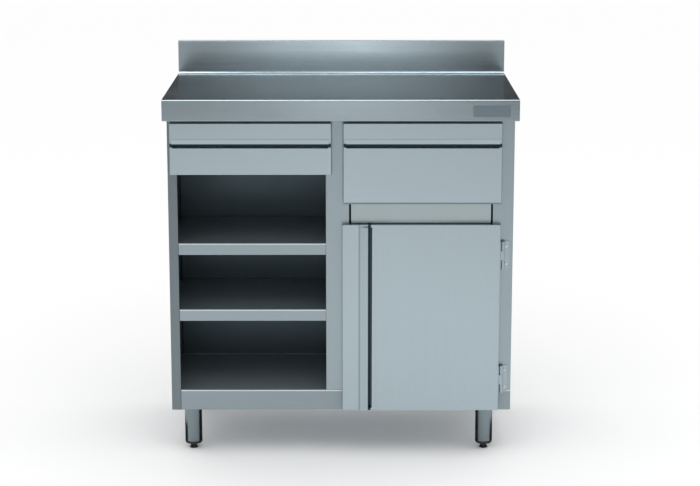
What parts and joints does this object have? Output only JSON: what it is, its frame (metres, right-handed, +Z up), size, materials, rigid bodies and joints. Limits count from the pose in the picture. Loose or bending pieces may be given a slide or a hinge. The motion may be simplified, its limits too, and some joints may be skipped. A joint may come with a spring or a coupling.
{
  "type": "bar service counter",
  "caption": "Stainless bar service counter with worktop and rear upstand, sliding drawers, open shelved bay, hinged door and levelling feet.",
  "frame": {"origin": "on the floor, under the middle of the worktop", "axes": "+X to the right seen from the front, +Y from the front to the back, +Z up"},
  "size_m": [1, 0.6, 1.15],
  "materials": {
    "brushed_steel": "brushed stainless sheet, fine straight grain",
    "polished_steel": "satin stainless sheet that mirrors softly",
    "plain_steel": "mill-finish stainless sheet",
    "zinc_steel": "zinc-plated steel",
    "black_plastic": "moulded black plastic"
  },
  "bodies": {
    "carcass": {"worktop": "polished_steel", "worktop_stiffener_front": "plain_steel", "worktop_stiffener_rear": "plain_steel", "front_top_rail": "brushed_steel", "left_side_panel": "brushed_steel", "right_side_panel": "brushed_steel", "centre_partition": "brushed_steel", "back_panel": "plain_steel", "base_tray": "polished_steel", "drawer_runner_packer": "plain_steel", "shelf_upper": "polished_steel", "shelf_cleat_upper_left": "plain_steel", "shelf_cleat_upper_right": "plain_steel", "shelf_lower": "polished_steel", "shelf_cleat_lower_left": "plain_steel", "shelf_cleat_lower_right": "plain_steel", "leg_plate_front_left": "plain_steel", "leg_tube_front_left": "brushed_steel", "leg_bush_front_left": "black_plastic", "leg_plate_front_right": "plain_steel", "leg_tube_front_right": "brushed_steel", "leg_bush_front_right": "black_plastic", "leg_plate_rear_left": "plain_steel", "leg_tube_rear_left": "brushed_steel", "leg_bush_rear_left": "black_plastic", "leg_plate_rear_right": "plain_steel", "leg_tube_rear_right": "brushed_steel", "leg_bush_rear_right": "black_plastic", "left_drawer_left_runner_outer": "zinc_steel", "left_drawer_right_runner_outer": "zinc_steel", "right_drawer_left_runner_outer": "zinc_steel", "right_drawer_right_runner_outer": "zinc_steel", "hinge_upper_post_leaf": "brushed_steel", "hinge_upper_pin": "zinc_steel", "hinge_lower_post_leaf": "brushed_steel", "hinge_lower_pin": "zinc_steel", "door_catch": "black_plastic"},
    "foot_front_left": {"levelling_foot_front_left": "black_plastic"},
    "foot_front_right": {"levelling_foot_front_right": "black_plastic"},
    "foot_rear_left": {"levelling_foot_rear_left": "black_plastic"},
    "foot_rear_right": {"levelling_foot_rear_right": "black_plastic"},
    "left_drawer": {"left_drawer_front": "brushed_steel", "left_drawer_box": "plain_steel", "left_drawer_left_runner_inner": "zinc_steel", "left_drawer_right_runner_inner": "zinc_steel"},
    "left_drawer_slides": {"left_drawer_left_runner_middle": "zinc_steel", "left_drawer_right_runner_middle": "zinc_steel"},
    "right_drawer": {"right_drawer_front": "brushed_steel", "right_drawer_box": "plain_steel", "right_drawer_left_runner_inner": "zinc_steel", "right_drawer_right_runner_inner": "zinc_steel"},
    "right_drawer_slides": {"right_drawer_left_runner_middle": "zinc_steel", "right_drawer_right_runner_middle": "zinc_steel"},
    "door": {"door_skin": "brushed_steel", "door_inner_panel": "plain_steel", "hinge_upper_door_leaf": "brushed_steel", "hinge_lower_door_leaf": "brushed_steel", "door_strike": "zinc_steel"}
  },
  "joints": [
    {"name": "left_drawer_pull", "type": "slide", "parent": "carcass", "child": "left_drawer", "axis": [0, -1, 0], "range_m": [0, 0.35]},
    {"name": "left_drawer_middle_travel", "type": "slide", "parent": "carcass", "child": "left_drawer_slides", "axis": [0, -1, 0], "range_m": [0, 0.175]},
    {"name": "right_drawer_pull", "type": "slide", "parent": "carcass", "child": "right_drawer", "axis": [0, -1, 0], "range_m": [0, 0.35]},
    {"name": "right_drawer_middle_travel", "type": "slide", "parent": "carcass", "child": "right_drawer_slides", "axis": [0, -1, 0], "range_m": [0, 0.175]},
    {"name": "door_swing", "type": "hinge", "parent": "carcass", "child": "door", "pos_m": [0.461, -0.2746, 0.418], "axis": [0, 0, 1], "range_deg": [0, 150]},
    {"name": "foot_front_left_screw", "type": "slide", "parent": "carcass", "child": "foot_front_left", "axis": [0, 0, -1], "range_m": [0, 0.02]},
    {"name": "foot_front_right_screw", "type": "slide", "parent": "carcass", "child": "foot_front_right", "axis": [0, 0, -1], "range_m": [0, 0.02]},
    {"name": "foot_rear_left_screw", "type": "slide", "parent": "carcass", "child": "foot_rear_left", "axis": [0, 0, -1], "range_m": [0, 0.02]},
    {"name": "foot_rear_right_screw", "type": "slide", "parent": "carcass", "child": "foot_rear_right", "axis": [0, 0, -1], "range_m": [0, 0.02]}
  ],
  "couplings": [
    {"joint": "left_drawer_middle_travel", "follows": "left_drawer_pull", "ratio": 0.5},
    {"joint": "right_drawer_middle_travel", "follows": "right_drawer_pull", "ratio": 0.5}
  ]
}
